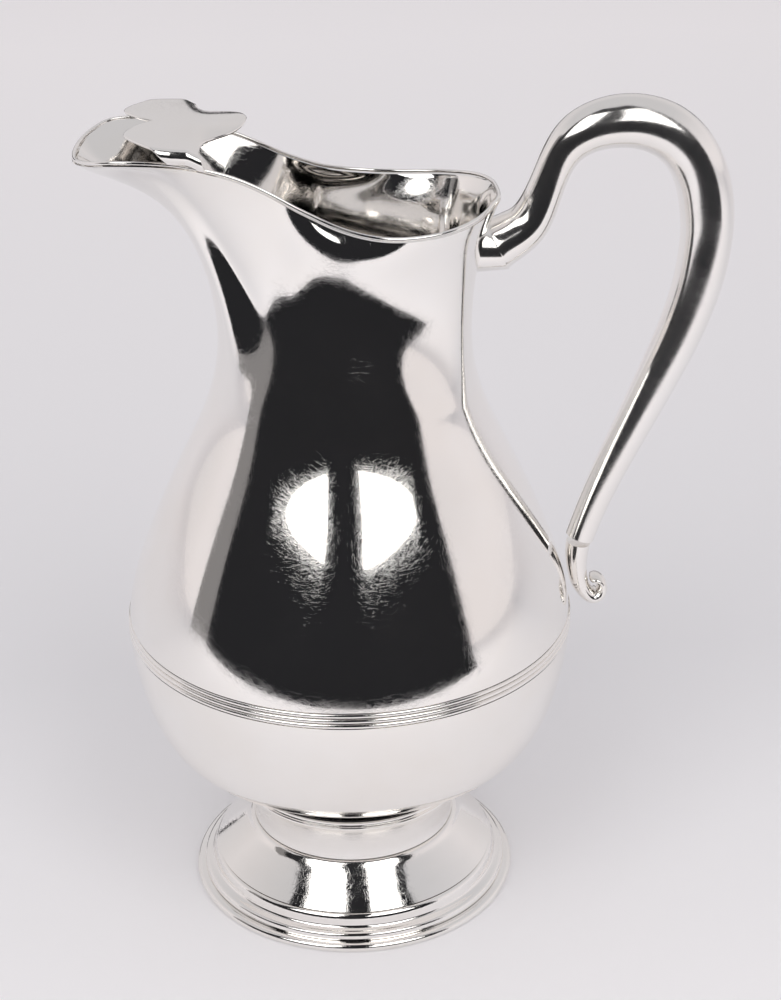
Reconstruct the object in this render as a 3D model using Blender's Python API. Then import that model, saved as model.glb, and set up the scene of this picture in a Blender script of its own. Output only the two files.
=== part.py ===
"""Silver water pitcher: spun baluster body with a pulled spout, an ice guard over the
spout, a reeded band, a hollow S-shaped handle and a stepped, hollow foot.
Metres, +Z up.  Handle towards +X, spout towards -X."""
import math

import bmesh
import bpy
import numpy as np

MM = 0.001

# ---------------------------------------------------------------- driving dimensions (mm)
AXIS_X = -18.8          # the body's axis, so that the whole part is centred on x = 0
WALL = 1.2              # spun sheet of the body
GAP = 0.3               # between pieces that touch
NECK_Z = 165.0          # above this height the neck turns into the mouth and the spout
SIDES = 40

# outside of the body from its floor to the neck: height, radius
BODY = [(38.0, 33.3), (40.0, 36.0), (42.5, 39.6), (45.0, 43.6), (47.5, 47.8), (50.0, 52.0),
        (57.5, 58.9), (72.5, 64.2), (87.5, 66.4), (102.5, 64.7), (120.0, 58.65),
        (140.0, 49.8), (160.0, 40.6), (175.0, 36.8), (190.0, 36.2)]

# edge of the mouth from the handle side round to the lip: x, y, z (the other half mirrors it)
RIM = [(43.4, 0.0, 222.2), (42.8, 7.4, 222.2), (40.0, 14.1, 221.8), (35.0, 21.0, 220.6),
       (30.0, 24.9, 219.8), (25.0, 27.3, 219.2), (20.0, 28.8, 218.9), (15.0, 29.7, 218.9),
       (10.0, 30.0, 219.2), (5.0, 29.5, 219.9), (0.0, 28.3, 221.0), (-5.0, 26.7, 222.6),
       (-10.0, 25.1, 224.8), (-15.0, 23.7, 227.2), (-20.0, 22.5, 230.0), (-25.0, 21.9, 232.6),
       (-30.0, 21.6, 234.8), (-37.5, 21.3, 237.2), (-45.0, 21.3, 238.9), (-52.5, 21.3, 239.8),
       (-60.0, 20.8, 240.1), (-63.5, 19.7, 239.9), (-66.5, 17.5, 239.2), (-69.0, 14.5, 238.4),
       (-71.3, 10.0, 237.5), (-72.6, 5.4, 236.8), (-73.1, 0.0, 236.5)]
WIRE_R = 0.5            # rim wire, centred on that line
EDGE_DROP = 0.8         # the sheet ends this far below the line

# how the sheet runs from the neck to the mouth, keyed by the angle from the handle
NECK_KEYS = [0, 30, 60, 85, 108, 130, 150, 180]
START_PULL = (NECK_KEYS, [39.1, 8.4, 39.3, 65.5, 66.6, 68.3, 53.1, 97.7])
END_PULL = (NECK_KEYS, [4.6, 59.7, 35.6, 28.7, 54.3, 95.5, 28.1, 87.0])
FLARE_DEG = (NECK_KEYS, [20.3, 18.0, 3.2, -42.8, 1.2, 22.8, 39.5, 50.2])
END_CURL = (NECK_KEYS, [-19.7, -75.2, -64.7, -83.5, -19.0, 87.8, -340.6, -357.2])
WAIST = (NECK_KEYS, [-2.4, -0.1, -3.0, -3.8, -2.0, -3.6, -5.8, 2.5])

# reeded band
REED_Z = [90.0, 91.6, 93.2]
REED_HALF = 0.65
REED_PROUD = 0.35
REED_SEAT = 0.55

# handle centre line: x from the body's axis, z, tube radius
HANDLE = [(42.85, 205.65, 7.6), (48.6, 208.8, 6.9), (53.5, 213.6, 6.0), (57.45, 222.85, 5.2),
          (60.9, 230.9, 5.35), (65.15, 236.1, 6.2), (70.35, 239.0, 6.85), (76.65, 240.3, 7.35),
          (83.4, 239.95, 7.6), (89.65, 237.85, 7.75), (94.6, 234.35, 7.75), (98.8, 229.1, 7.7),
          (101.75, 222.25, 7.7), (103.3, 214.85, 7.7), (103.75, 206.9, 7.5),
          (103.05, 198.65, 7.3), (101.5, 190.25, 7.05), (99.1, 181.95, 6.8),
          (96.1, 173.65, 6.55), (92.55, 165.35, 6.25), (88.8, 156.9, 5.9), (84.85, 148.3, 5.5),
          (80.8, 139.5, 5.15), (76.8, 130.45, 4.8), (73.1, 121.1, 4.5), (69.9, 111.6, 4.35)]
SOCKET_END = 3.15       # the socket ends at this point of the list
TUBE_WALL = 1.1

# scroll at the foot of the handle: x, z, half thickness, half width
SCROLL = [(69.5, 109.8, 3.6, 4.2), (69.1, 105.5, 3.4, 4.2), (69.35, 101.0, 3.0, 4.1),
          (70.1, 96.9, 2.7, 4.1), (71.9, 93.2, 2.4, 4.1), (74.3, 91.3, 2.3, 4.0),
          (76.5, 92.3, 2.0, 3.9), (77.2, 94.6, 1.6, 3.8), (76.6, 96.5, 1.35, 3.7),
          (75.0, 97.3, 1.2, 3.5), (73.2, 96.9, 1.0, 3.2)]

# ice guard: half plan as rows across (share of the half width, front x, rear x)
GUARD_PLAN = [(0.0, -51.5, -25.6), (0.15, -55.2, -26.5), (0.28, -57.4, -28.6),
              (0.37, -58.5, -31.4), (0.44, -59.0, -35.0), (0.52, -59.0, -37.5),
              (0.62, -57.9, -38.6), (0.72, -55.8, -39.0), (0.82, -53.0, -39.0),
              (0.91, -50.2, -38.4), (1.0, -48.0, -37.6)]
GUARD_HALF = [(-60.0, 19.5), (-55.0, 21.9), (-50.0, 24.0), (-47.0, 24.7), (-45.0, 24.9),
              (-40.0, 25.2), (-25.0, 25.2)]
GUARD_TOP = 245.0
GUARD_T = 0.9
GUARD_DROOP = 4.5       # the most that the plate falls away towards its sides
FOLD_R = 1.4
FOLD_DEG = 125          # the sides turn down and in over the rim
FLANGE = 4.55           # sheet past the start of the fold line

# foot, from the body down: outline points are radius, height
COLLAR = [(28.0, 37.5), (33.0, 37.5), (35.4, 37.6), (35.6, 37.2), (34.7, 36.6), (34.2, 35.8),
          (34.3, 35.0), (34.9, 34.5), (35.0, 34.0), (34.6, 33.7), (28.0, 33.7)]
SPOOL = [(32.9, 33.4), (32.1, 31.6), (31.5, 28.8), (31.1, 25.4), (31.0, 22.8), (31.3, 20.9)]
FLARE = [(31.6, 20.5), (33.5, 18.5), (35.8, 16.3), (38.2, 14.1), (40.6, 12.0), (43.1, 9.9)]
FOOT_WALL = 1.4
STEPS = [(41.8, 9.4), (43.2, 9.4), (43.8, 8.9), (44.15, 8.2), (44.3, 7.6), (44.45, 6.6),
         (44.6, 5.9), (44.9, 5.5), (45.7, 5.15), (46.6, 4.9), (47.2, 4.5), (47.45, 3.9),
         (47.6, 3.2), (47.6, 2.9), (44.3, 2.9)]
BASE_WIRE = [(47.9, 2.6), (48.9, 2.55), (49.6, 2.2), (50.0, 1.6), (50.0, 0.6), (49.7, 0.2),
             (49.2, 0.0), (45.6, 0.0), (45.0, 0.6), (45.0, 2.3), (45.3, 2.6)]


# ---------------------------------------------------------------- curves
def spline(xs, ys):
    """Natural cubic spline; returns f(q, derivative)."""
    xs = np.asarray(xs, float)
    ys = np.asarray(ys, float)
    flat = ys.ndim == 1
    if flat:
        ys = ys[:, None]
    n = len(xs)
    step = np.diff(xs)
    slope = np.diff(ys, axis=0) / step[:, None]
    a = np.eye(n)
    b = np.zeros_like(ys)
    for i in range(1, n - 1):
        a[i, i - 1:i + 2] = step[i - 1], 2 * (step[i - 1] + step[i]), step[i]
        b[i] = 6 * (slope[i] - slope[i - 1])
    m = np.linalg.solve(a, b)

    def value(q, order=0):
        q = np.asarray(q, float)
        i = np.clip(np.searchsorted(xs, q) - 1, 0, n - 2)
        h = step[i][..., None]
        u = (xs[i + 1] - q)[..., None] / h
        v = (q - xs[i])[..., None] / h
        if order == 0:
            out = u * ys[i] + v * ys[i + 1]
            out = out + ((u ** 3 - u) * m[i] + (v ** 3 - v) * m[i + 1]) * h * h / 6
        elif order == 1:
            out = (ys[i + 1] - ys[i]) / h
            out = out + ((3 * v * v - 1) * m[i + 1] - (3 * u * u - 1) * m[i]) * h / 6
        else:
            out = u * m[i] + v * m[i + 1]
        return out[..., 0] if flat else out

    return value


def keyed(theta, keys, values):
    """A value given at some angles from the handle, the same on both sides."""
    t = np.abs((np.asarray(theta) + math.pi) % (2 * math.pi) - math.pi)
    k = np.radians(keys)
    v = np.asarray(values, float)
    ks = np.concatenate([-k[1:][::-1], k, 2 * math.pi - k[:-1][::-1]])
    vs = np.concatenate([v[1:][::-1], v, v[:-1][::-1]])
    return spline(ks, vs)(t)


def rim_curve():
    """The mouth's edge as a closed smooth curve of the angle round the body."""
    pts = np.array(RIM)
    run = np.concatenate([[0.0], np.cumsum(np.linalg.norm(np.diff(pts, axis=0), axis=1))])
    turn = 0.5 * math.pi * run / run[-1] + 0.5 * np.arctan2(pts[:, 1], pts[:, 0])
    loop = np.vstack([pts, pts[1:-1][::-1] * [1, -1, 1]])
    angle = np.concatenate([turn, 2 * math.pi - turn[1:-1][::-1]])
    loop = np.vstack([loop[-5:], loop, loop[:6]])
    angle = np.concatenate([angle[-5:] - 2 * math.pi, angle, angle[:6] + 2 * math.pi])
    return spline(angle, loop)


body_radius = spline([z for z, r in BODY], [r for z, r in BODY])
rim = rim_curve()


def rim_frame(theta):
    """Point, tangent and level outward normal of the rim."""
    point = rim(theta)
    tangent = rim(theta, 1)
    tangent = tangent / np.linalg.norm(tangent, axis=1)[:, None]
    normal = np.stack([tangent[:, 1], -tangent[:, 0], 0 * theta], -1)
    normal = normal / np.linalg.norm(normal, axis=1)[:, None]
    return point, tangent, normal


def neck_surface(theta, u):
    """Outside of the sheet from the neck circle (u = 0) to the mouth (u = 1)."""
    up = np.array([0.0, 0.0, 1.0])
    out = np.stack([np.cos(theta), np.sin(theta), 0 * theta], -1)
    r0, r1, r2 = (float(body_radius(NECK_Z, k)) for k in range(3))
    h0 = keyed(theta, *START_PULL)[:, None]
    h1 = keyed(theta, *END_PULL)[:, None]
    flare = np.radians(keyed(theta, *FLARE_DEG))[:, None]
    curl = keyed(theta, *END_CURL)[:, None]
    waist = keyed(theta, *WAIST)[:, None]
    p1, _, n = rim_frame(theta)
    p1 = p1 + 0.5 * WALL * n - EDGE_DROP * up
    p0 = r0 * out + NECK_Z * up
    d0 = h0 * (r1 * out + up)
    a0 = h0 ** 2 * r2 * out
    d1 = h1 * (np.sin(flare) * n + np.cos(flare) * up)
    a1 = curl * (np.cos(flare) * n - np.sin(flare) * up)
    u = np.asarray(u, float)[:, None, None]
    return ((1 - 10 * u ** 3 + 15 * u ** 4 - 6 * u ** 5) * p0
            + (u - 6 * u ** 3 + 8 * u ** 4 - 3 * u ** 5) * d0
            + (u ** 2 - 3 * u ** 3 + 3 * u ** 4 - u ** 5) * 0.5 * a0
            + (u ** 3 - 2 * u ** 4 + u ** 5) * 0.5 * a1
            + (-4 * u ** 3 + 7 * u ** 4 - 3 * u ** 5) * d1
            + (10 * u ** 3 - 15 * u ** 4 + 6 * u ** 5) * p1
            + 64 * u ** 3 * (1 - u) ** 3 * waist * out)


# ---------------------------------------------------------------- mesh helpers
def material(name, colour, roughness):
    mat = bpy.data.materials.new(name)
    mat.use_nodes = True
    shader = mat.node_tree.nodes["Principled BSDF"]
    shader.inputs["Base Color"].default_value = (*colour, 1)
    shader.inputs["Metallic"].default_value = 1
    shader.inputs["Roughness"].default_value = roughness
    return mat


def loft(name, rings, mat, ring_closed=True, smooth_deg=40):
    """Skin a list of closed rings; the list itself is closed, or capped at both ends."""
    bm = bmesh.new()
    rows = [[bm.verts.new(((p[0] + AXIS_X) * MM, p[1] * MM, p[2] * MM)) for p in ring]
            for ring in rings]
    n = len(rows[0])
    last = len(rows) if ring_closed else len(rows) - 1
    for i in range(last):
        a = rows[i]
        b = rows[(i + 1) % len(rows)]
        for j in range(n):
            bm.faces.new((a[j], a[(j + 1) % n], b[(j + 1) % n], b[j]))
    if not ring_closed:
        bm.faces.new(rows[0][::-1])
        bm.faces.new(rows[-1])
    bmesh.ops.recalc_face_normals(bm, faces=bm.faces)
    for face in bm.faces:
        face.smooth = True
    mesh = bpy.data.meshes.new(name)
    bm.to_mesh(mesh)
    bm.free()
    mesh.set_sharp_from_angle(angle=math.radians(smooth_deg))
    mesh.materials.append(mat)
    obj = bpy.data.objects.new(name, mesh)
    bpy.context.scene.collection.objects.link(obj)
    return obj


def revolve(name, outline, mat, sides=SIDES):
    """Turn a closed outline of radius, height round the body's axis."""
    angles = [2 * math.pi * j / sides for j in range(sides)]
    rings = [[(r * math.cos(a), r * math.sin(a), z) for a in angles] for r, z in outline]
    return loft(name, rings, mat, True, 30)


def sheet_outline(outside, thickness):
    """Close a run of radius, height points into a wall of even thickness on its inside."""
    pts = np.array(outside, float)
    run = np.gradient(pts, axis=0)
    run = run / np.linalg.norm(run, axis=1)[:, None]
    side = np.stack([run[:, 1], -run[:, 0]], -1)
    if (side[:, 0]).mean() > 0:
        side = -side
    inside = pts + thickness * side
    inside[0, 1] = pts[0, 1]
    inside[-1, 1] = pts[-1, 1]
    return [tuple(p) for p in pts] + [tuple(p) for p in inside[::-1]]


# ---------------------------------------------------------------- body
def offset_in(grid, distance):
    """Move a grid of rows x angles inwards along its normals."""
    along = np.gradient(grid, axis=0)
    around = np.roll(grid, -1, axis=1) - np.roll(grid, 1, axis=1)
    normal = np.cross(around, along)
    normal = normal / np.linalg.norm(normal, axis=2)[..., None]
    return grid - distance * normal


def build_body(mat):
    theta = np.linspace(0, 2 * math.pi, SIDES, endpoint=False)
    low, high = REED_Z[0] - REED_HALF - GAP, REED_Z[-1] + REED_HALF + GAP
    heights = [38.0, 40.5, 43.5, 46.5, 50.0, 55.0, 62.0, 70.0, 79.0, low, high, 101.0,
               110.0, 120.0, 130.0, 140.0, 149.0, 157.0, NECK_Z]
    circle = np.stack([np.cos(theta), np.sin(theta)], -1)
    rows = [np.column_stack([float(body_radius(z)) * circle, np.full(SIDES, z)])
            for z in heights]
    upper = neck_surface(theta, np.linspace(0, 1, 11)[1:])
    outer = np.array(rows + list(upper))
    inner = offset_in(outer, WALL)
    inner[0, :, 2] = outer[0, :, 2] + WALL
    p1, _, n = rim_frame(theta)
    inner[-1] = outer[-1] - WALL * n
    seat = []
    for z in (low, high):
        r = float(body_radius(z)) - REED_SEAT
        seat.append(np.column_stack([r * circle, np.full(SIDES, z)]))
    cut = heights.index(low) + 1
    outside = list(outer[:cut]) + seat + list(outer[cut:])
    rings = outside + list(inner[::-1])
    return loft("body_shell", rings, mat, False, 40)


def build_rim_wire(mat):
    theta = np.linspace(0, 2 * math.pi, 80, endpoint=False)
    point, tangent, normal = rim_frame(theta)
    up = np.cross(normal, tangent)
    up = up * np.sign(up[:, 2:3])
    rings = []
    for i in range(len(theta)):
        turn = [2 * math.pi * k / 6 for k in range(6)]
        rings.append([point[i] + WIRE_R * (math.cos(t) * normal[i] + math.sin(t) * up[i])
                      for t in turn])
    return loft("rim_wire", rings, mat, True, 60)


def build_reeds(mat):
    for i, z in enumerate(REED_Z):
        r = float(body_radius(z))
        inside = r - REED_SEAT + GAP
        outline = [(inside, z - REED_HALF), (r, z - REED_HALF)]
        for k in range(1, 4):
            a = -math.pi / 2 + math.pi * k / 4
            outline.append((r + REED_PROUD * math.cos(a), z + REED_HALF * math.sin(a)))
        outline += [(r, z + REED_HALF), (inside, z + REED_HALF)]
        revolve("reed_%d" % (i + 1), outline, mat)


# ---------------------------------------------------------------- ice guard
def guard_half(x):
    return float(np.interp(x, [p[0] for p in GUARD_HALF], [p[1] for p in GUARD_HALF]))


def guard_point(x, s, lift):
    """Point of the guard at plan position x, distance s across its sheet, above its middle."""
    side = 1.0 if s >= 0 else -1.0
    s = abs(s)
    flat = guard_half(x) - FOLD_R
    blend = min(max((x + 43.0) / 8.0, 0.0), 1.0)
    blend = blend * blend * (3 - 2 * blend)
    crown = 0.0016 + 0.0014 * min(max((x + 52.0) / 10.0, 0.0), 1.0) + 0.0125 * blend
    y = min(s, flat)
    fade = math.exp(-crown * y * y / GUARD_DROOP)
    z = GUARD_TOP - GUARD_DROOP * (1 - fade)
    lean = math.atan(2 * crown * y * fade)
    extra = s - y
    turn = min(extra / FOLD_R, math.radians(FOLD_DEG) - lean)
    left = extra - turn * FOLD_R
    a = lean + turn
    y += FOLD_R * (math.sin(a) - math.sin(lean)) + left * math.cos(a)
    z -= FOLD_R * (math.cos(lean) - math.cos(a)) + left * math.sin(a)
    return np.array([x, side * (y + lift * math.sin(a)), z + lift * math.cos(a)])


def build_guard(mat):
    shares = np.array([p[0] for p in GUARD_PLAN])
    front = spline(shares, [p[1] for p in GUARD_PLAN])
    rear = spline(shares, [p[2] for p in GUARD_PLAN])
    across = [-1.0, -0.95, -0.91, -0.87, -0.82, -0.72, -0.6, -0.48, -0.36, -0.24, -0.12, 0.0]
    across = across + [-v for v in across[-2::-1]]
    steps = 8
    rings = []
    for v in across:
        x0, x1 = float(front(abs(v))), float(rear(abs(v)))
        ring = []
        for lift in (GUARD_T / 2, -GUARD_T / 2):
            ks = range(steps + 1) if lift > 0 else range(steps, -1, -1)
            for k in ks:
                x = x0 + (x1 - x0) * k / steps
                reach = guard_half(x) - FOLD_R + FLANGE
                ring.append(guard_point(x, v * reach, lift))
        rings.append(ring)
    return loft("ice_guard", rings, mat, False, 50)


# ---------------------------------------------------------------- handle
def wall_x(y, z):
    """Where the neck's outside lies on the handle side at a given y and z."""
    v = np.array([y / 36.0, 0.5])
    for _ in range(12):
        def at(q):
            return neck_surface(np.array([q[0]]), [q[1]])[0, 0]
        p = at(v)
        e = 1e-4
        jac = np.array([(at(v + [e, 0]) - p) / e, (at(v + [0, e]) - p) / e]).T
        v = v + np.linalg.solve(jac[1:], np.array([y, z]) - p[1:])
        v = np.clip(v, [-1.2, 0.05], [1.2, 1.0])
    return at(v)[0]


def sweep_rings(path, t0, t1, count, sides, inset):
    """Rings across a swept path of x, z, half thickness, half width."""
    rings = []
    for t in np.linspace(t0, t1, count):
        x, z, a, b = path(t)
        dx, dz = path(t, 1)[:2]
        size = math.hypot(dx, dz)
        nx, nz = -dz / size, dx / size
        ring = []
        for k in range(sides):
            w = 2 * math.pi * k / sides
            c, s = (a - inset) * math.cos(w), (b - inset) * math.sin(w)
            ring.append(np.array([x + nx * c, s, z + nz * c]))
        rings.append(ring)
    return rings


def build_handle(mat, satin):
    path = spline(range(len(HANDLE)), [(x, z, r, r) for x, z, r in HANDLE])
    end = len(HANDLE) - 1
    outer = sweep_rings(path, 0, SOCKET_END, 9, 16, 0)
    inner = sweep_rings(path, 0, SOCKET_END, 9, 16, TUBE_WALL)
    for rings in (outer, inner):
        rings[0] = [np.array([wall_x(p[1], p[2]) + GAP, p[1], p[2]]) for p in rings[0]]
        rings[1] = [np.array([max(p[0], wall_x(p[1], p[2]) + 1.0), p[1], p[2]])
                    for p in rings[1]]
    loft("handle_socket", outer + inner[::-1], mat, True, 50)
    start = SOCKET_END + GAP / 9.0
    outer = sweep_rings(path, start, end, 32, 16, 0)
    inner = sweep_rings(path, start, end, 32, 16, TUBE_WALL)
    loft("handle_tube", outer + inner[::-1], satin, True, 50)
    curl = spline(range(len(SCROLL)), SCROLL)
    rings = sweep_rings(curl, 0, len(SCROLL) - 1, 26, 12, 0)
    for ring in rings[:12]:
        for p in ring:
            reach = float(body_radius(p[2])) + GAP + REED_PROUD
            p[0] = max(p[0], math.sqrt(reach ** 2 - p[1] ** 2))
    loft("handle_scroll", rings, mat, False, 50)


# ---------------------------------------------------------------- build
for old in list(bpy.data.objects):
    bpy.data.objects.remove(old, do_unlink=True)

SILVER = (0.93, 0.92, 0.90)
polished = {name: material(name, SILVER, rough) for name, rough in (
    ("body_silver", 0.06), ("rim_silver", 0.08), ("guard_silver", 0.10),
    ("reed_silver", 0.10), ("socket_silver", 0.10), ("handle_silver", 0.12),
    ("foot_silver", 0.08), ("spool_silver", 0.20))}

build_body(polished["body_silver"])
build_rim_wire(polished["rim_silver"])
build_guard(polished["guard_silver"])
build_reeds(polished["reed_silver"])
build_handle(polished["socket_silver"], polished["handle_silver"])
revolve("foot_collar", COLLAR, polished["foot_silver"])
revolve("foot_spool", sheet_outline(SPOOL, FOOT_WALL), polished["spool_silver"])
revolve("foot_flare", sheet_outline(FLARE, FOOT_WALL), polished["foot_silver"])
revolve("foot_steps", STEPS, polished["foot_silver"])
revolve("foot_wire", BASE_WIRE, polished["foot_silver"])
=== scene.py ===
"""Looks of the silver water pitcher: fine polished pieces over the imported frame, in a plain
pale studio with two tall soft lights in front of it.
Sizes are in millimetres until a mesh is made; angles are in degrees where a name says so."""
import math

import bpy
import numpy as np
from mathutils import Matrix, Vector


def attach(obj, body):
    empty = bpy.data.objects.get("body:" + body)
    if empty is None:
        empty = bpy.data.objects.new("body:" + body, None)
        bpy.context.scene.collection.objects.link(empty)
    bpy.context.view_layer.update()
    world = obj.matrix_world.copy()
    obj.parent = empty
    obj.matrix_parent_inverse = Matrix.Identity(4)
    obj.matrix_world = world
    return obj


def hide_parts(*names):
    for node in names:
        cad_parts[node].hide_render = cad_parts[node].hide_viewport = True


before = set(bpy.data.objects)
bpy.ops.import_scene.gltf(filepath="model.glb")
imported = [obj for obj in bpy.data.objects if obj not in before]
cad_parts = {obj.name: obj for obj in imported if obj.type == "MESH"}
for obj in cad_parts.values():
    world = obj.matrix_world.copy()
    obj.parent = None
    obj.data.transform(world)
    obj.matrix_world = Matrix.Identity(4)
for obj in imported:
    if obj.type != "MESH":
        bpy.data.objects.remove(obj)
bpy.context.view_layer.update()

MM = 0.001

# ---------------------------------------------------------------- dimensions, as in the frame
AXIS_X = -18.8          # the body's axis
WALL = 1.2
NECK_Z = 165.0
BODY_FLOOR = 38.0
BODY = [(38.0, 33.3), (40.0, 36.0), (42.5, 39.6), (45.0, 43.6), (47.5, 47.8), (50.0, 52.0),
        (57.5, 58.9), (72.5, 64.2), (87.5, 66.4), (102.5, 64.7), (120.0, 58.65),
        (140.0, 49.8), (160.0, 40.6), (175.0, 36.8), (190.0, 36.2)]
RIM = [(43.4, 0.0, 222.2), (42.8, 7.4, 222.2), (40.0, 14.1, 221.8), (35.0, 21.0, 220.6),
       (30.0, 24.9, 219.8), (25.0, 27.3, 219.2), (20.0, 28.8, 218.9), (15.0, 29.7, 218.9),
       (10.0, 30.0, 219.2), (5.0, 29.5, 219.9), (0.0, 28.3, 221.0), (-5.0, 26.7, 222.6),
       (-10.0, 25.1, 224.8), (-15.0, 23.7, 227.2), (-20.0, 22.5, 230.0), (-25.0, 21.9, 232.6),
       (-30.0, 21.6, 234.8), (-37.5, 21.3, 237.2), (-45.0, 21.3, 238.9), (-52.5, 21.3, 239.8),
       (-60.0, 20.8, 240.1), (-63.5, 19.7, 239.9), (-66.5, 17.5, 239.2), (-69.0, 14.5, 238.4),
       (-71.3, 10.0, 237.5), (-72.6, 5.4, 236.8), (-73.1, 0.0, 236.5)]
WIRE_R = 0.55
EDGE_DROP = 0.8
# How the sheet runs from the neck to the mouth, by the angle from the handle. The five tables
# are the output of a least-squares program, and were not chosen by hand.
NECK_KEYS = [0, 30, 60, 85, 108, 130, 150, 180]
START_PULL = (NECK_KEYS, [39.1, 8.4, 39.3, 65.5, 66.6, 68.3, 53.1, 97.7])
END_PULL = (NECK_KEYS, [4.6, 59.7, 35.6, 28.7, 54.3, 95.5, 28.1, 87.0])
FLARE_DEG = (NECK_KEYS, [20.3, 18.0, 3.2, -42.8, 1.2, 22.8, 39.5, 50.2])
END_CURL = (NECK_KEYS, [-19.7, -75.2, -64.7, -83.5, -19.0, 87.8, -340.6, -357.2])
WAIST = (NECK_KEYS, [-2.4, -0.1, -3.0, -3.8, -2.0, -3.6, -5.8, 2.5])

REED_Z = [90.0, 91.6, 93.2]
REED_HALF = 0.72
REED_PROUD = 0.40
REED_SEAT = 0.55
BAND_MARGIN = 0.95      # from the middle of the outer reeds to the edge of their seat

# Centre line of the handle: x, z, tube radius. Most rows are a program's output, rescaled.
HANDLE = [(42.85, 205.65, 7.6), (48.6, 208.8, 6.9), (53.5, 213.6, 6.0), (57.45, 222.85, 5.2),
          (60.9, 230.9, 5.35), (65.15, 236.1, 6.2), (70.35, 239.0, 6.85), (76.65, 240.3, 7.35),
          (83.4, 239.95, 7.6), (89.65, 237.85, 7.75), (94.6, 234.35, 7.75), (98.8, 229.1, 7.7),
          (101.75, 222.25, 7.7), (103.3, 214.85, 7.7), (103.75, 206.9, 7.5),
          (103.05, 198.65, 7.3), (101.5, 190.25, 7.05), (99.1, 181.95, 6.8),
          (96.1, 173.65, 6.55), (92.55, 165.35, 6.25), (88.8, 156.9, 5.9), (84.85, 148.3, 5.5),
          (80.8, 139.5, 5.15), (76.8, 130.45, 4.8), (73.1, 121.1, 4.5), (69.9, 111.6, 4.35)]
SOCKET_END = 3.15       # where the socket ends, counted in points of HANDLE
SOCKET_CUT_RINGS = 14   # rings that are held clear of the neck's wall
SOCKET_SUNK = 0.2
SOCKET_RING_STEP = 0.12
SCROLL = [(69.5, 109.8, 3.6, 4.2), (69.1, 105.5, 3.4, 4.2), (69.35, 101.0, 3.0, 4.1),
          (70.1, 96.9, 2.7, 4.1), (71.9, 93.2, 2.4, 4.1), (74.3, 91.3, 2.3, 4.0),
          (76.5, 92.3, 2.0, 3.9), (77.2, 94.6, 1.6, 3.8), (76.6, 96.5, 1.35, 3.7),
          (75.0, 97.3, 1.2, 3.5), (73.2, 96.9, 1.0, 3.2)]

GUARD_PLAN = [(0.0, -51.5, -25.6), (0.15, -55.2, -26.5), (0.28, -57.4, -28.6),
              (0.37, -58.5, -31.4), (0.44, -59.0, -35.0), (0.52, -59.0, -37.5),
              (0.62, -57.9, -38.6), (0.72, -55.8, -39.0), (0.82, -53.0, -39.0),
              (0.91, -50.2, -38.4), (1.0, -48.0, -37.6)]
GUARD_HALF = [(-60.0, 19.5), (-55.0, 21.9), (-50.0, 24.0), (-47.0, 24.7), (-45.0, 24.9),
              (-40.0, 25.2), (-25.0, 25.2)]
GUARD_TOP = 245.0
GUARD_T = 0.9
GUARD_DROOP = 4.5
FOLD_R = 1.4
FOLD_DEG = 125
FLANGE = 4.55

COLLAR = [(28.0, 37.6), (33.0, 37.6), (35.4, 37.7), (35.6, 37.2), (34.7, 36.6), (34.2, 35.8),
          (34.3, 35.0), (34.9, 34.5), (35.0, 34.0), (34.6, 33.6), (28.0, 33.6)]
SPOOL = [(32.9, 33.5), (32.1, 31.6), (31.5, 28.8), (31.1, 25.4), (31.0, 22.8), (31.3, 20.8)]
FLARE = [(31.6, 20.6), (33.5, 18.5), (35.8, 16.3), (38.2, 14.1), (40.6, 12.0), (43.1, 9.8)]
FOOT_WALL = 1.4
STEPS = [(41.8, 9.4), (43.2, 9.4), (43.8, 8.9), (44.15, 8.2), (44.3, 7.6), (44.45, 6.6),
         (44.6, 5.9), (44.9, 5.5), (45.7, 5.15), (46.6, 4.9), (47.2, 4.5), (47.45, 3.9),
         (47.6, 3.2), (47.6, 2.8), (44.3, 2.8)]
BASE_WIRE = [(47.9, 2.6), (48.9, 2.55), (49.6, 2.2), (50.0, 1.6), (50.0, 0.6), (49.7, 0.2),
             (49.2, 0.0), (45.6, 0.0), (45.0, 0.6), (45.0, 2.3), (45.3, 2.6)]

AROUND = 256            # segments round the body and the foot


# ---------------------------------------------------------------- curves
def spline(xs, ys):
    """Natural cubic spline; returns f(q, derivative)."""
    xs = np.asarray(xs, float)
    ys = np.asarray(ys, float)
    flat = ys.ndim == 1
    if flat:
        ys = ys[:, None]
    n = len(xs)
    step = np.diff(xs)
    slope = np.diff(ys, axis=0) / step[:, None]
    a = np.eye(n)
    b = np.zeros_like(ys)
    for i in range(1, n - 1):
        a[i, i - 1:i + 2] = step[i - 1], 2 * (step[i - 1] + step[i]), step[i]
        b[i] = 6 * (slope[i] - slope[i - 1])
    m = np.linalg.solve(a, b)

    def value(q, order=0):
        q = np.asarray(q, float)
        i = np.clip(np.searchsorted(xs, q) - 1, 0, n - 2)
        h = step[i][..., None]
        u = (xs[i + 1] - q)[..., None] / h
        v = (q - xs[i])[..., None] / h
        if order == 0:
            out = u * ys[i] + v * ys[i + 1]
            out = out + ((u ** 3 - u) * m[i] + (v ** 3 - v) * m[i + 1]) * h * h / 6
        elif order == 1:
            out = (ys[i + 1] - ys[i]) / h
            out = out + ((3 * v * v - 1) * m[i + 1] - (3 * u * u - 1) * m[i]) * h / 6
        else:
            out = u * m[i] + v * m[i + 1]
        return out[..., 0] if flat else out

    return value


def keyed(theta, keys, values):
    """A value given at some angles from the handle, the same on both sides."""
    t = np.abs((np.asarray(theta) + math.pi) % (2 * math.pi) - math.pi)
    k = np.radians(keys)
    v = np.asarray(values, float)
    ks = np.concatenate([-k[1:][::-1], k, 2 * math.pi - k[:-1][::-1]])
    vs = np.concatenate([v[1:][::-1], v, v[:-1][::-1]])
    return spline(ks, vs)(t)


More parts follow.
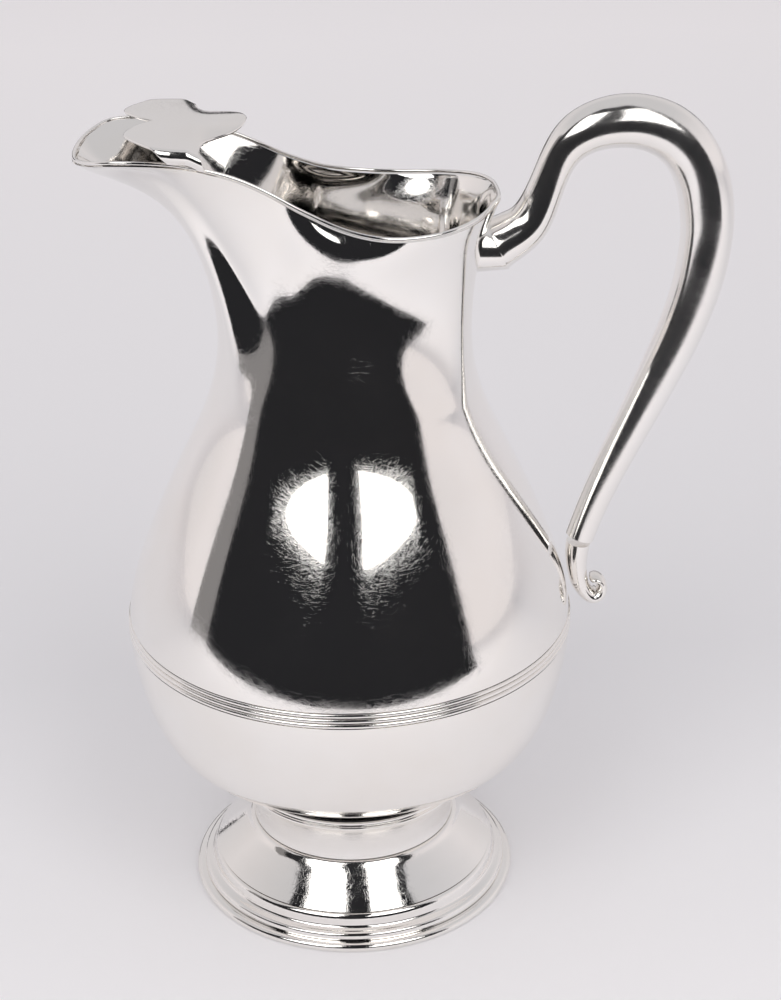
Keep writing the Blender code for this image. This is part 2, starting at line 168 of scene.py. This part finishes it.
def rim_curve():
    """The mouth's edge as a closed smooth curve of the angle round the body."""
    pts = np.array(RIM)
    run = np.concatenate([[0.0], np.cumsum(np.linalg.norm(np.diff(pts, axis=0), axis=1))])
    turn = 0.5 * math.pi * run / run[-1] + 0.5 * np.arctan2(pts[:, 1], pts[:, 0])
    loop = np.vstack([pts, pts[1:-1][::-1] * [1, -1, 1]])
    angle = np.concatenate([turn, 2 * math.pi - turn[1:-1][::-1]])
    loop = np.vstack([loop[-5:], loop, loop[:6]])
    angle = np.concatenate([angle[-5:] - 2 * math.pi, angle, angle[:6] + 2 * math.pi])
    return spline(angle, loop)


body_radius = spline([z for z, r in BODY], [r for z, r in BODY])
rim = rim_curve()


def rim_frame(theta):
    """Point, tangent and level outward normal of the rim."""
    point = rim(theta)
    tangent = rim(theta, 1)
    tangent = tangent / np.linalg.norm(tangent, axis=1)[:, None]
    normal = np.stack([tangent[:, 1], -tangent[:, 0], 0 * theta], -1)
    normal = normal / np.linalg.norm(normal, axis=1)[:, None]
    return point, tangent, normal


def neck_surface(theta, u):
    """Outside of the sheet from the neck circle (u = 0) to the mouth (u = 1)."""
    up = np.array([0.0, 0.0, 1.0])
    out = np.stack([np.cos(theta), np.sin(theta), 0 * theta], -1)
    r0, r1, r2 = (float(body_radius(NECK_Z, k)) for k in range(3))
    h0 = keyed(theta, *START_PULL)[:, None]
    h1 = keyed(theta, *END_PULL)[:, None]
    flare = np.radians(keyed(theta, *FLARE_DEG))[:, None]
    curl = keyed(theta, *END_CURL)[:, None]
    waist = keyed(theta, *WAIST)[:, None]
    p1, _, n = rim_frame(theta)
    p1 = p1 + 0.5 * WALL * n - EDGE_DROP * up
    p0 = r0 * out + NECK_Z * up
    d0 = h0 * (r1 * out + up)
    a0 = h0 ** 2 * r2 * out
    d1 = h1 * (np.sin(flare) * n + np.cos(flare) * up)
    a1 = curl * (np.cos(flare) * n - np.sin(flare) * up)
    u = np.asarray(u, float)[:, None, None]
    return ((1 - 10 * u ** 3 + 15 * u ** 4 - 6 * u ** 5) * p0
            + (u - 6 * u ** 3 + 8 * u ** 4 - 3 * u ** 5) * d0
            + (u ** 2 - 3 * u ** 3 + 3 * u ** 4 - u ** 5) * 0.5 * a0
            + (u ** 3 - 2 * u ** 4 + u ** 5) * 0.5 * a1
            + (-4 * u ** 3 + 7 * u ** 4 - 3 * u ** 5) * d1
            + (10 * u ** 3 - 15 * u ** 4 + 6 * u ** 5) * p1
            + 64 * u ** 3 * (1 - u) ** 3 * waist * out)


def refine(outline, parts=6, corner_deg=52):
    """Round a closed outline off with a smooth curve, except at its sharp corners."""
    pts = np.array(outline, float)
    n = len(pts)
    edge = np.roll(pts, -1, axis=0) - pts
    size = np.linalg.norm(edge, axis=1)
    tangent = np.zeros((n, 2, 2))
    for i in range(n):
        a = edge[i - 1] / size[i - 1]
        b = edge[i] / size[i]
        if math.degrees(math.acos(max(-1.0, min(1.0, float(a @ b))))) > corner_deg:
            tangent[i] = a, b
        else:
            mean = a * size[i] + b * size[i - 1]
            tangent[i] = mean / np.linalg.norm(mean)
    out = []
    for i in range(n):
        j = (i + 1) % n
        for u in np.arange(parts) / parts:
            h = (2 * u ** 3 - 3 * u ** 2 + 1, u ** 3 - 2 * u ** 2 + u,
                 3 * u ** 2 - 2 * u ** 3, u ** 3 - u ** 2)
            out.append(h[0] * pts[i] + h[1] * size[i] * tangent[i, 1]
                       + h[2] * pts[j] + h[3] * size[i] * tangent[j, 0])
    return [tuple(p) for p in out]


# ---------------------------------------------------------------- mesh helpers
def mesh_object(name, verts, faces, smooth_deg):
    """A mesh from points in millimetres from the body's axis."""
    points = (np.asarray(verts, float) + [AXIS_X, 0, 0]) * MM
    mesh = bpy.data.meshes.new(name)
    mesh.from_pydata(points.tolist(), [], faces)
    mesh.validate()
    mesh.shade_smooth()
    mesh.set_sharp_from_angle(angle=math.radians(smooth_deg))
    obj = bpy.data.objects.new(name, mesh)
    bpy.context.scene.collection.objects.link(obj)
    return obj


def loft(name, rings, ring_closed=True, smooth_deg=40):
    """Skin a list of closed rings; the list itself is closed, or capped at both ends."""
    grid = np.asarray(rings, float)
    rows, n, _ = grid.shape
    faces = []
    for i in range(rows if ring_closed else rows - 1):
        a = i * n
        b = ((i + 1) % rows) * n
        for j in range(n):
            k = (j + 1) % n
            faces.append((a + j, a + k, b + k, b + j))
    if not ring_closed:
        faces.append(tuple(range(n))[::-1])
        faces.append(tuple(range((rows - 1) * n, rows * n)))
    if turned_in(grid - grid.mean(axis=(0, 1))):
        faces = [f[::-1] for f in faces]
    return mesh_object(name, grid.reshape(-1, 3), faces, smooth_deg)


def turned_in(grid):
    """Whether the quads of rings x points, in that order, face inwards."""
    a = grid
    b = np.roll(grid, -1, axis=1)
    c = np.roll(b, -1, axis=0)
    d = np.roll(grid, -1, axis=0)
    corner = np.einsum("ijk,ijk->ij", a, np.cross(b, c) + np.cross(c, d))
    return corner[:-1].sum() < 0


def revolve(name, outline, parts=6):
    """Turn a closed outline of radius, height round the body's axis."""
    shape = np.array(refine(outline, parts))
    angle = np.linspace(0, 2 * math.pi, AROUND, endpoint=False)
    circle = np.stack([np.cos(angle), np.sin(angle)], -1)
    rings = [np.column_stack([r * circle, np.full(AROUND, z)]) for r, z in shape]
    return loft(name, rings, True, 50)


def sheet_outline(outside, thickness):
    """Close a run of radius, height points into a wall of even thickness on its inside."""
    pts = np.array(outside, float)
    run = np.gradient(pts, axis=0)
    run = run / np.linalg.norm(run, axis=1)[:, None]
    side = np.stack([run[:, 1], -run[:, 0]], -1)
    if (side[:, 0]).mean() > 0:
        side = -side
    inside = pts + thickness * side
    inside[0, 1] = pts[0, 1]
    inside[-1, 1] = pts[-1, 1]
    return [tuple(p) for p in pts] + [tuple(p) for p in inside[::-1]]


# ---------------------------------------------------------------- body, rim and reeds
def make_body():
    """The vessel: outside up to the mouth, the seat of the reeds, and the inside."""
    theta = np.linspace(0, 2 * math.pi, AROUND, endpoint=False)
    circle = np.stack([np.cos(theta), np.sin(theta)], -1)
    low, high = REED_Z[0] - BAND_MARGIN, REED_Z[-1] + BAND_MARGIN
    below = np.linspace(BODY_FLOOR, low, 60)
    above = np.linspace(high, NECK_Z, 72)

    def level(z, inset=0.0):
        return np.column_stack([(float(body_radius(z)) - inset) * circle, np.full(AROUND, z)])

    lower = [level(z) for z in below]
    upper = [level(z) for z in above] + list(neck_surface(theta, np.linspace(0, 1, 72)[1:]))
    outer = np.array(lower + upper)
    along = np.gradient(outer, axis=0)
    around = np.roll(outer, -1, axis=1) - np.roll(outer, 1, axis=1)
    normal = np.cross(around, along)
    normal = normal / np.linalg.norm(normal, axis=2)[..., None]
    inner = outer - WALL * normal
    inner[0, :, 2] = outer[0, :, 2] + WALL
    p1, _, n = rim_frame(theta)
    inner[-1] = outer[-1] - WALL * n
    seat = [level(low, REED_SEAT), level(high, REED_SEAT)]
    rings = lower + seat + upper + list(inner[::-1])
    return loft("body_polished", rings, False, 40)


def make_rim():
    """The round wire along the mouth."""
    theta = np.linspace(0, 2 * math.pi, 2 * AROUND, endpoint=False)
    point, tangent, normal = rim_frame(theta)
    up = np.cross(normal, tangent)
    up = up * np.sign(up[:, 2:3])
    turn = np.linspace(0, 2 * math.pi, 16, endpoint=False)
    rings = (point[:, None] + WIRE_R * (np.cos(turn)[None, :, None] * normal[:, None]
                                        + np.sin(turn)[None, :, None] * up[:, None]))
    return loft("rim_polished", rings, True, 80)


def make_reed(index):
    """One bead of the band round the belly."""
    z = REED_Z[index]
    r = float(body_radius(z))
    inside = r - REED_SEAT + 0.15
    turn = np.linspace(-0.5 * math.pi, 0.5 * math.pi, 13)
    bead = [(r - 0.25 + (REED_PROUD + 0.25) * math.cos(a), z + REED_HALF * math.sin(a))
            for a in turn]
    return revolve("reed_polished_%d" % (index + 1),
                   [(inside, z - REED_HALF)] + bead + [(inside, z + REED_HALF)], 1)


# ---------------------------------------------------------------- ice guard
def guard_half(x):
    """Half width of the ice guard's top at a plan position."""
    return float(np.interp(x, [p[0] for p in GUARD_HALF], [p[1] for p in GUARD_HALF]))


def guard_point(x, s, lift):
    """Point of the guard at plan position x, distance s across its sheet, above its middle."""
    side = 1.0 if s >= 0 else -1.0
    s = abs(s)
    flat = guard_half(x) - FOLD_R
    blend = min(max((x + 43.0) / 8.0, 0.0), 1.0)
    blend = blend * blend * (3 - 2 * blend)
    crown = 0.0016 + 0.0014 * min(max((x + 52.0) / 10.0, 0.0), 1.0) + 0.0125 * blend
    y = min(s, flat)
    fade = math.exp(-crown * y * y / GUARD_DROOP)
    z = GUARD_TOP - GUARD_DROOP * (1 - fade)
    lean = math.atan(2 * crown * y * fade)
    extra = s - y
    turn = min(extra / FOLD_R, math.radians(FOLD_DEG) - lean)
    left = extra - turn * FOLD_R
    a = lean + turn
    y += FOLD_R * (math.sin(a) - math.sin(lean)) + left * math.cos(a)
    z -= FOLD_R * (math.cos(lean) - math.cos(a)) + left * math.sin(a)
    return np.array([x, side * (y + lift * math.sin(a)), z + lift * math.cos(a)])


def make_guard():
    """The ice guard: a crowned plate with its sides folded down and in."""
    shares = np.array([p[0] for p in GUARD_PLAN])
    front = spline(shares, [p[1] for p in GUARD_PLAN])
    rear = spline(shares, [p[2] for p in GUARD_PLAN])
    half = GUARD_T / 2
    run = np.linspace(0, 1, 41)
    edge = np.linspace(-0.5 * math.pi, 0.5 * math.pi, 7)
    rings = []
    for v in np.linspace(-1, 1, 161):
        x0, x1 = float(front(abs(v))), float(rear(abs(v)))
        ring = [(x0 + half + (x1 - x0 - 2 * half) * k, half) for k in run]
        ring += [(x1 - half + half * math.cos(a), -half * math.sin(a)) for a in edge[1:-1]]
        ring += [(x0 + half + (x1 - x0 - 2 * half) * k, -half) for k in run[::-1]]
        ring += [(x0 + half - half * math.cos(a), half * math.sin(a)) for a in edge[1:-1]]
        points = []
        for x, lift in ring:
            reach = guard_half(x) - FOLD_R + FLANGE
            points.append(guard_point(x, v * reach, lift))
        rings.append(points)
    return loft("guard_polished", rings, False, 50)


# ---------------------------------------------------------------- handle
def wall_x(y, z):
    """Where the neck's outside lies on the handle side at a given y and z."""
    def at(q):
        return neck_surface(np.array([q[0]]), [q[1]])[0, 0]

    v = np.array([y / 36.0, 0.5])
    e = 1e-4
    for _ in range(8):
        p = at(v)
        jac = np.array([(at(v + [e, 0]) - p) / e, (at(v + [0, e]) - p) / e]).T
        v = v + np.linalg.solve(jac[1:], np.array([y, z]) - p[1:])
        v = np.clip(v, [-1.2, 0.05], [1.2, 1.0])
    return at(v)[0]


def sweep_rings(path, places, sides, grow):
    """Rings across a swept path of x, z, half thickness, half width."""
    rings = []
    for t in places:
        x, z, a, b = path(t)
        dx, dz = path(t, 1)[:2]
        size = math.hypot(dx, dz)
        nx, nz = -dz / size, dx / size
        share = grow(t)
        ring = []
        for k in range(sides):
            w = 2 * math.pi * k / sides
            c, s = a * share * math.cos(w), b * share * math.sin(w)
            ring.append(np.array([x + nx * c, s, z + nz * c]))
        rings.append(ring)
    return rings


def handle_path():
    """Centre line of the handle as a smooth curve of the point number."""
    return spline(range(len(HANDLE)), [(x, z, r, r) for x, z, r in HANDLE])


def make_socket():
    """The start of the handle, cut to the neck's wall."""
    path = handle_path()
    places = np.linspace(0, SOCKET_END, 64)

    def grow(t):
        return 1 + 0.10 * math.exp(-t / 0.12)

    rings = sweep_rings(path, places, 56, grow)
    wall = np.array([wall_x(p[1], p[2]) for p in rings[0]])
    for p, x in zip(rings[0], wall):
        p[0] = x - SOCKET_SUNK
    for i in range(1, SOCKET_CUT_RINGS):
        for p, x in zip(rings[i], wall):
            p[0] = max(p[0], x - SOCKET_SUNK + SOCKET_RING_STEP * i)
    return loft("socket_polished", rings, False, 60)


def make_tube():
    """The long tube of the handle."""
    path = handle_path()
    end = len(HANDLE) - 1
    places = np.linspace(SOCKET_END, end, 320)
    return loft("tube_polished", sweep_rings(path, places, 56, lambda t: 1.0), False, 60)


def make_scroll():
    """The foot of the handle, held clear of the body, with its end curled and rounded."""
    path = spline(range(len(SCROLL)), SCROLL)
    end = len(SCROLL) - 1
    places = np.concatenate([np.linspace(0, end - 0.6, 130), end - 0.6 * (1 - np.sin(
        np.linspace(0, 0.5 * math.pi, 16)[1:]))])

    def grow(t):
        near = max(0.0, (t - end + 0.6) / 0.6)
        return math.sqrt(max(1 - near * near, 0.0025))

    rings = sweep_rings(path, places, 40, grow)
    for ring in rings[:70]:
        for p in ring:
            reach = float(body_radius(p[2])) + 0.15
            p[0] = max(p[0], math.sqrt(reach ** 2 - p[1] ** 2))
    return loft("scroll_polished", rings, False, 60)


# ---------------------------------------------------------------- materials
def new_material(name):
    """A material with nodes, its links and its Principled shader."""
    mat = bpy.data.materials.new(name)
    mat.use_nodes = True
    nodes = mat.node_tree.nodes
    return mat, nodes, mat.node_tree.links, nodes["Principled BSDF"]


def math_node(nodes, links, kind, a, b):
    node = nodes.new("ShaderNodeMath")
    node.operation = kind
    for socket, value in zip(node.inputs, (a, b)):
        if isinstance(value, (int, float)):
            socket.default_value = value
        else:
            links.new(value, socket)
    return node.outputs[0]


def noise_node(nodes, links, vector, scale, detail=2.0, rough=0.5):
    node = nodes.new("ShaderNodeTexNoise")
    node.inputs["Scale"].default_value = scale
    node.inputs["Detail"].default_value = detail
    node.inputs["Roughness"].default_value = rough
    links.new(vector, node.inputs["Vector"])
    return node.outputs["Fac"]


def map_range(nodes, links, value, low, high, to_low, to_high):
    node = nodes.new("ShaderNodeMapRange")
    node.clamp = True
    links.new(value, node.inputs["Value"])
    for socket, number in zip(("From Min", "From Max", "To Min", "To Max"),
                              (low, high, to_low, to_high)):
        node.inputs[socket].default_value = number
    return node.outputs["Result"]


def hairlines(nodes, links, coords, directions, across, along, low, high):
    """Sparse fine scratches: noise stretched along several directions, bent by a slow noise."""
    bend = nodes.new("ShaderNodeTexNoise")
    bend.inputs["Scale"].default_value = 28.0
    bend.inputs["Detail"].default_value = 1.0
    links.new(coords, bend.inputs["Vector"])
    sway = nodes.new("ShaderNodeVectorMath")
    sway.operation = "MULTIPLY_ADD"
    links.new(bend.outputs["Color"], sway.inputs[0])
    sway.inputs[1].default_value = (0.012, 0.012, 0.012)
    links.new(coords, sway.inputs[2])
    total = None
    for i, degrees in enumerate(directions):
        turn = nodes.new("ShaderNodeMapping")
        turn.vector_type = "POINT"
        turn.inputs["Rotation"].default_value = (0.0, math.radians(degrees), 0.35 * i)
        turn.inputs["Location"].default_value = (0.37 * i, 0.11 * i, 0.53 * i)
        links.new(sway.outputs[0], turn.inputs["Vector"])
        pull = nodes.new("ShaderNodeVectorMath")
        pull.operation = "MULTIPLY"
        links.new(turn.outputs[0], pull.inputs[0])
        pull.inputs[1].default_value = (along, along * 2.5, across)
        fine = noise_node(nodes, links, pull.outputs[0], 1.0, 1.0, 0.4)
        line = map_range(nodes, links, fine, low, high, 0.0, 1.0)
        total = line if total is None else math_node(nodes, links, "MAXIMUM", total, line)
    return total


def silver(name, rough, scratch_depth=0.22, haze=0.10, across=3400.0, tint=(0.95, 0.935, 0.915)):
    """Polished silver: hairline scratches, slow changes of gloss and a trace of tarnish."""
    mat, nodes, links, shader = new_material(name)
    coords = nodes.new("ShaderNodeTexCoord").outputs["Object"]
    lines = hairlines(nodes, links, coords, (0, 26, 51, 78, 104, 131, 157), across, 130.0,
                      0.60, 0.70)
    patches = noise_node(nodes, links, coords, 38.0, 3.0)
    wear = map_range(nodes, links, patches, 0.35, 0.65, 0.35, 1.0)
    worn = math_node(nodes, links, "MULTIPLY", lines, wear)
    gloss = map_range(nodes, links, patches, 0.3, 0.7, rough * 0.8, rough * 1.25)
    extra = math_node(nodes, links, "MULTIPLY", worn, haze)
    links.new(math_node(nodes, links, "ADD", gloss, extra), shader.inputs["Roughness"])

    ramp = nodes.new("ShaderNodeValToRGB")
    ramp.color_ramp.elements[0].position = 0.30
    ramp.color_ramp.elements[0].color = (*[c * f for c, f in zip(tint, (0.965, 0.95, 0.93))], 1)
    ramp.color_ramp.elements[1].position = 0.62
    ramp.color_ramp.elements[1].color = (*tint, 1)
    links.new(noise_node(nodes, links, coords, 16.0, 4.0, 0.6), ramp.inputs["Fac"])
    links.new(ramp.outputs["Color"], shader.inputs["Base Color"])
    shader.inputs["Metallic"].default_value = 1.0

    bump = nodes.new("ShaderNodeBump")
    bump.inputs["Strength"].default_value = scratch_depth
    bump.inputs["Distance"].default_value = 0.00002
    links.new(worn, bump.inputs["Height"])
    links.new(bump.outputs["Normal"], shader.inputs["Normal"])
    return mat


# ---------------------------------------------------------------- pieces
def finish_piece(obj, mat, slot, *nodes):
    """Give a piece its silver, hang it on the root's empty and hide the frame's parts that it
    replaces.
    """
    obj.data.materials.append(mat)
    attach(obj, "root")
    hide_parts(*nodes)
    return obj


body_silver = silver("silver_body", 0.022, scratch_depth=0.16, haze=0.055, across=5200.0)
rim_silver = silver("silver_rim", 0.05)
guard_silver = silver("silver_guard", 0.09)
reed_silver = silver("silver_reeds", 0.07)
socket_silver = silver("silver_socket", 0.12, scratch_depth=0.14, haze=0.06)
handle_silver = silver("silver_handle", 0.14, scratch_depth=0.14, haze=0.06)
foot_silver = silver("silver_foot", 0.04)
spool_silver = silver("silver_spool", 0.16)

finish_piece(make_body(), body_silver, "body_silver", "body_shell")
finish_piece(make_rim(), rim_silver, "rim_silver", "rim_wire")
finish_piece(make_guard(), guard_silver, "guard_silver", "ice_guard")
for number in range(len(REED_Z)):
    finish_piece(make_reed(number), reed_silver, "reed_silver", "reed_%d" % (number + 1))
finish_piece(make_socket(), socket_silver, "socket_silver", "handle_socket")
finish_piece(make_tube(), handle_silver, "handle_silver", "handle_tube")
finish_piece(make_scroll(), socket_silver, "socket_silver", "handle_scroll")
finish_piece(revolve("collar_polished", COLLAR), foot_silver, "foot_silver", "foot_collar")
finish_piece(revolve("spool_polished", sheet_outline(SPOOL, FOOT_WALL)), spool_silver,
             "spool_silver", "foot_spool")
finish_piece(revolve("flare_polished", sheet_outline(FLARE, FOOT_WALL)), foot_silver,
             "foot_silver", "foot_flare")
finish_piece(revolve("steps_polished", STEPS), foot_silver, "foot_silver", "foot_steps")
finish_piece(revolve("wire_polished", BASE_WIRE), foot_silver, "foot_silver", "foot_wire")


# ---------------------------------------------------------------- studio
STUDIO_R = 2.6          # metres from the pitcher to the dark end of the room
LIGHT_R = 2.2
DARK_LEFT = -80         # azimuths of the dark end's two sides, in degrees
DARK_RIGHT = 58
DARK_FLOOR_Y = -0.365   # where the pale paper ends towards the front, in metres
DARK_FLOOR_RISE = 0.0006
DARK_FLOOR_STEPS = 40
FLOOR_HALF = 30.0
FLOOR_NEAR_Y = -0.25    # the painted shade on the paper runs between these two places, in metres
FLOOR_FAR_Y = 1.0
CENTRE = Vector((AXIS_X * MM, 0.0, 0.12))


def emission(name, colour, strength):
    """A plain glowing surface, for panels that only show in the silver."""
    mat = bpy.data.materials.new(name)
    mat.use_nodes = True
    nodes = mat.node_tree.nodes
    nodes.clear()
    glow = nodes.new("ShaderNodeEmission")
    glow.inputs["Color"].default_value = (*colour, 1)
    glow.inputs["Strength"].default_value = strength
    out = nodes.new("ShaderNodeOutputMaterial")
    mat.node_tree.links.new(glow.outputs[0], out.inputs["Surface"])
    return mat


def toward(az_deg, el_deg):
    """Direction from the pitcher: azimuth from the front (-Y), positive towards +X."""
    az, el = math.radians(az_deg), math.radians(el_deg)
    return Vector((math.sin(az) * math.cos(el), -math.cos(az) * math.cos(el), math.sin(el)))


def sky_patch(name, corners, radius, mat, cells=24, lit=False):
    """A curved panel round the pitcher, between four corners given as azimuth, elevation."""
    a, b, c, d = (np.array(p, float) for p in corners)
    verts, faces = [], []
    for i in range(cells + 1):
        for j in range(cells + 1):
            s, t = i / cells, j / cells
            az, el = (a * (1 - s) + b * s) * (1 - t) + (d * (1 - s) + c * s) * t
            verts.append(CENTRE + toward(az, el) * radius)
    for i in range(cells):
        for j in range(cells):
            k = i * (cells + 1) + j
            faces.append((k, k + 1, k + cells + 2, k + cells + 1))
    return studio_panel(name, verts, faces, mat, lit)


def studio_panel(name, verts, faces, mat, lit=False):
    """A panel that the camera does not see; lit panels also light the floor."""
    mesh = bpy.data.meshes.new(name)
    mesh.from_pydata([tuple(v) for v in verts], [], faces)
    mesh.materials.append(mat)
    obj = bpy.data.objects.new(name, mesh)
    bpy.context.scene.collection.objects.link(obj)
    obj.visible_camera = False
    obj.visible_shadow = False
    obj.visible_diffuse = lit
    return obj


def make_floor():
    """Pale paper with painted shade: a little darker round the pitcher than near and far."""
    size = FLOOR_HALF
    mesh = bpy.data.meshes.new("floor")
    mesh.from_pydata([(-size, -size, 0), (size, -size, 0), (size, size, 0), (-size, size, 0)],
                     [], [(0, 1, 2, 3)])
    mat, nodes, links, shader = new_material("floor_paper_painted_shade")
    place = nodes.new("ShaderNodeSeparateXYZ")
    links.new(nodes.new("ShaderNodeTexCoord").outputs["Object"], place.inputs[0])
    ramp = nodes.new("ShaderNodeValToRGB")
    ramp.color_ramp.elements[0].color = (0.98, 0.965, 0.975, 1)
    ramp.color_ramp.elements[1].color = (1.0, 0.98, 0.99, 1)
    # painted shade: this darker middle stop shades the paper round and just behind the pitcher
    ramp.color_ramp.elements.new(0.30).color = (0.83, 0.825, 0.845, 1)
    links.new(map_range(nodes, links, place.outputs["Y"], FLOOR_NEAR_Y, FLOOR_FAR_Y, 0.0, 1.0),
              ramp.inputs["Fac"])
    links.new(ramp.outputs["Color"], shader.inputs["Base Color"])
    shader.inputs["Roughness"].default_value = 0.9
    shader.inputs["Specular IOR Level"].default_value = 0.0
    mesh.materials.append(mat)
    obj = bpy.data.objects.new("floor", mesh)
    bpy.context.scene.collection.objects.link(obj)


def make_studio():
    """The dark end of the room, the two soft lights in front of it and the walls."""
    dark = emission("dark_room", (0.019, 0.019, 0.021), 1.0)
    grey = emission("grey_edge", (0.24, 0.23, 0.23), 1.0)
    soft = emission("soft_light", (1.0, 0.99, 0.985), 2.4)
    sky_patch("dark_wall", [(DARK_LEFT, -14), (DARK_RIGHT, -14), (DARK_RIGHT, 30),
                            (DARK_LEFT, 30)], STUDIO_R, dark)
    sky_patch("dark_ceiling", [(-72, 30), (56, 30), (54, 80), (-66, 80)], STUDIO_R, dark)
    sky_patch("grey_wall", [(-92, -14), (DARK_LEFT, -14), (DARK_LEFT, 30), (-92, 30)],
              STUDIO_R, grey)
    sky_patch("back_wall", [(148, -4), (212, -4), (212, 6), (148, 6)], STUDIO_R, dark)
    sky_patch("light_left", [(-56, 23), (-18.5, 20.5), (-14.5, 64), (-57, 64)], LIGHT_R, soft,
              lit=True)
    sky_patch("light_right", [(4, 20.0), (43, 21.5), (45.5, 64), (14.5, 64)], LIGHT_R, soft,
              lit=True)
    outer = STUDIO_R + 0.2
    axis = AXIS_X * MM
    turns = [math.radians(a) for a in np.linspace(DARK_LEFT, DARK_RIGHT, DARK_FLOOR_STEPS)]
    near = [Vector((axis - DARK_FLOOR_Y * math.tan(a), DARK_FLOOR_Y, DARK_FLOOR_RISE))
            for a in turns]
    far = [Vector((axis + outer * math.sin(a), -outer * math.cos(a), DARK_FLOOR_RISE))
           for a in turns]
    n = DARK_FLOOR_STEPS
    faces = [(i, i + 1, n + 1 + i, n + i) for i in range(n - 1)]
    studio_panel("dark_floor", near + far, faces, dark)
    make_world()


def make_world():
    """Warm pale walls, greyer high up and behind."""
    world = bpy.data.worlds.new("pale_room")
    bpy.context.scene.world = world
    world.use_nodes = True
    nodes, links = world.node_tree.nodes, world.node_tree.links
    split = nodes.new("ShaderNodeSeparateXYZ")
    links.new(nodes.new("ShaderNodeTexCoord").outputs["Generated"], split.inputs[0])
    high = map_range(nodes, links, split.outputs["Z"], 0.15, 0.75, 0.0, 1.0)
    behind = map_range(nodes, links, split.outputs["Y"], 0.2, 0.9, 0.0, 0.75)
    share = math_node(nodes, links, "MAXIMUM", high, behind)
    mix = nodes.new("ShaderNodeMix")
    mix.data_type = "RGBA"
    links.new(share, mix.inputs["Factor"])
    mix.inputs["A"].default_value = (0.83, 0.785, 0.79, 1)
    mix.inputs["B"].default_value = (0.60, 0.59, 0.605, 1)
    links.new(mix.outputs["Result"], nodes["Background"].inputs["Color"])
    nodes["Background"].inputs["Strength"].default_value = 1.0


# ---------------------------------------------------------------- camera
CAM_DISTANCE = 604.64   # level distance from the body's axis, mm
CAM_HEIGHT = 425.07
CAM_TURN = 0.07         # the pitcher's turn to the camera, radians
CAM_PAN = 0.0209
CAM_PITCH = 0.4576
CAM_ROLL = -0.0094
CAM_LENS = 81.87


def make_camera():
    """The camera, placed round the body's axis."""
    turn = Matrix.Rotation(-CAM_TURN, 3, "Z")
    forward = Vector((math.sin(CAM_PAN) * math.cos(CAM_PITCH),
                      math.cos(CAM_PAN) * math.cos(CAM_PITCH), -math.sin(CAM_PITCH)))
    right = Vector((math.cos(CAM_PAN), -math.sin(CAM_PAN), 0.0))
    up = right.cross(forward)
    tilt_right = math.cos(CAM_ROLL) * right + math.sin(CAM_ROLL) * up
    tilt_up = -math.sin(CAM_ROLL) * right + math.cos(CAM_ROLL) * up
    axes = [turn @ v for v in (tilt_right, tilt_up, -forward)]
    place = Matrix(axes).transposed().to_4x4()
    spot = turn @ Vector((0.0, -CAM_DISTANCE, CAM_HEIGHT)) + Vector((AXIS_X, 0.0, 0.0))
    place.translation = spot * MM
    data = bpy.data.cameras.new("camera")
    data.sensor_width = 36.0
    data.lens = CAM_LENS
    data.clip_end = 100.0
    obj = bpy.data.objects.new("camera", data)
    obj.matrix_world = place
    bpy.context.scene.collection.objects.link(obj)
    bpy.context.scene.camera = obj


make_floor()
make_studio()
make_camera()
bpy.context.scene.view_settings.view_transform = "Standard"
bpy.context.scene.cycles.sample_clamp_indirect = 6.0
